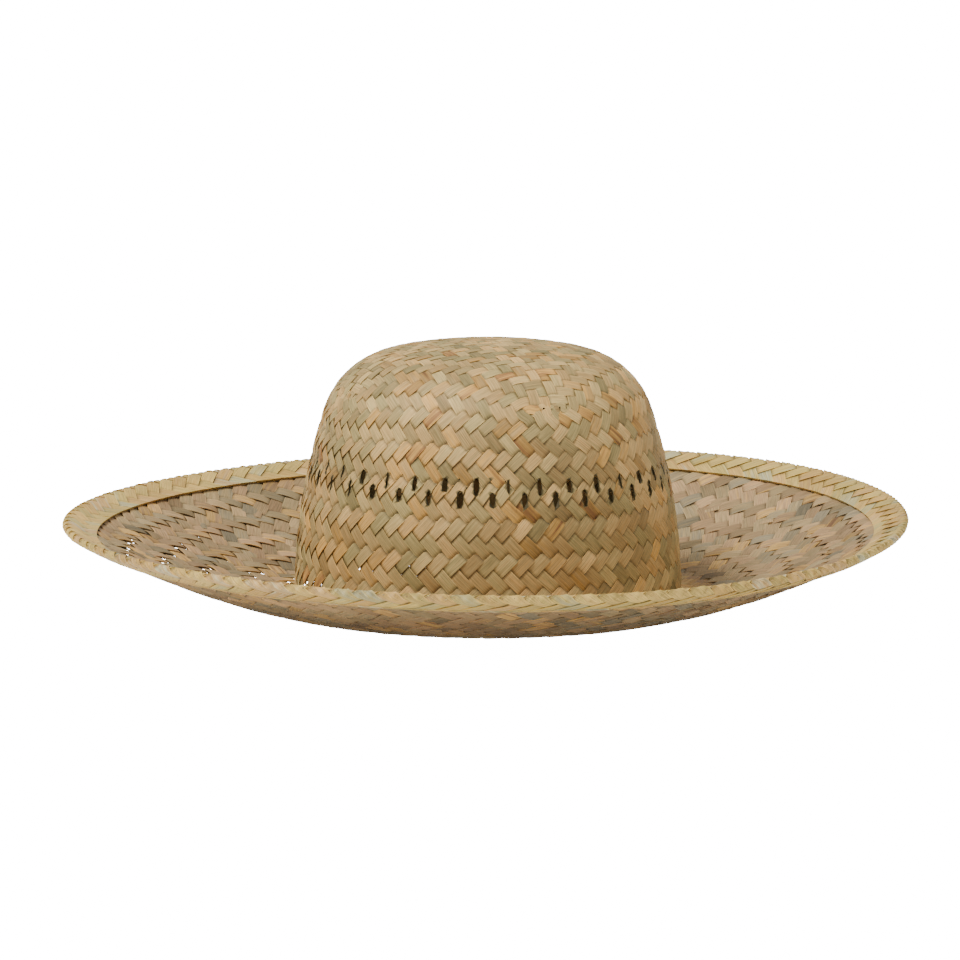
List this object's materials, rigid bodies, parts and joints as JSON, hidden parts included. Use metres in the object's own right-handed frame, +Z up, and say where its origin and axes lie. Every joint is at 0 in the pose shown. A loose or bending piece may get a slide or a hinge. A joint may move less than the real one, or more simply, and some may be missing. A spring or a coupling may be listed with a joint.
{
  "type": "wide-brimmed plaited straw sun hat",
  "caption": "Hand-plaited leaf-strip sun hat: round crown with two staggered rows of slit vents, wide bowl-shaped brim, edge bound with a folded flat braid",
  "frame": {"origin": "centre of the flat ring round the head opening on which the hat rests, on the crown's axis", "axes": "+Z up through the tip of the crown, -Y towards the front, +X to the right seen from the front; the hat is round about Z"},
  "size_m": [0.4198, 0.4198, 0.128],
  "materials": {
    "crown_straw": "dried flat leaf strips, tan to grey-green, matt with a fine lengthwise grain, plaited in a two-over two-under twill",
    "brim_straw": "the same strips, a little pinker and more loosely plaited",
    "edge_straw": "smoother, yellower strips plaited flat and folded over the edge",
    "edge_cane": "thin split cane, hidden in the fold of the edge"
  },
  "bodies": {
    "root": {"crown_tip_mat": "crown_straw", "crown_shoulder_weave": "crown_straw", "crown_vent_band": "crown_straw", "crown_wall_weave": "crown_straw", "head_opening_turn": "crown_straw", "brim_inner_weave": "brim_straw", "brim_middle_weave": "brim_straw", "brim_outer_weave": "brim_straw", "edge_braid": "edge_straw", "edge_core": "edge_cane"}
  },
  "joints": []
}
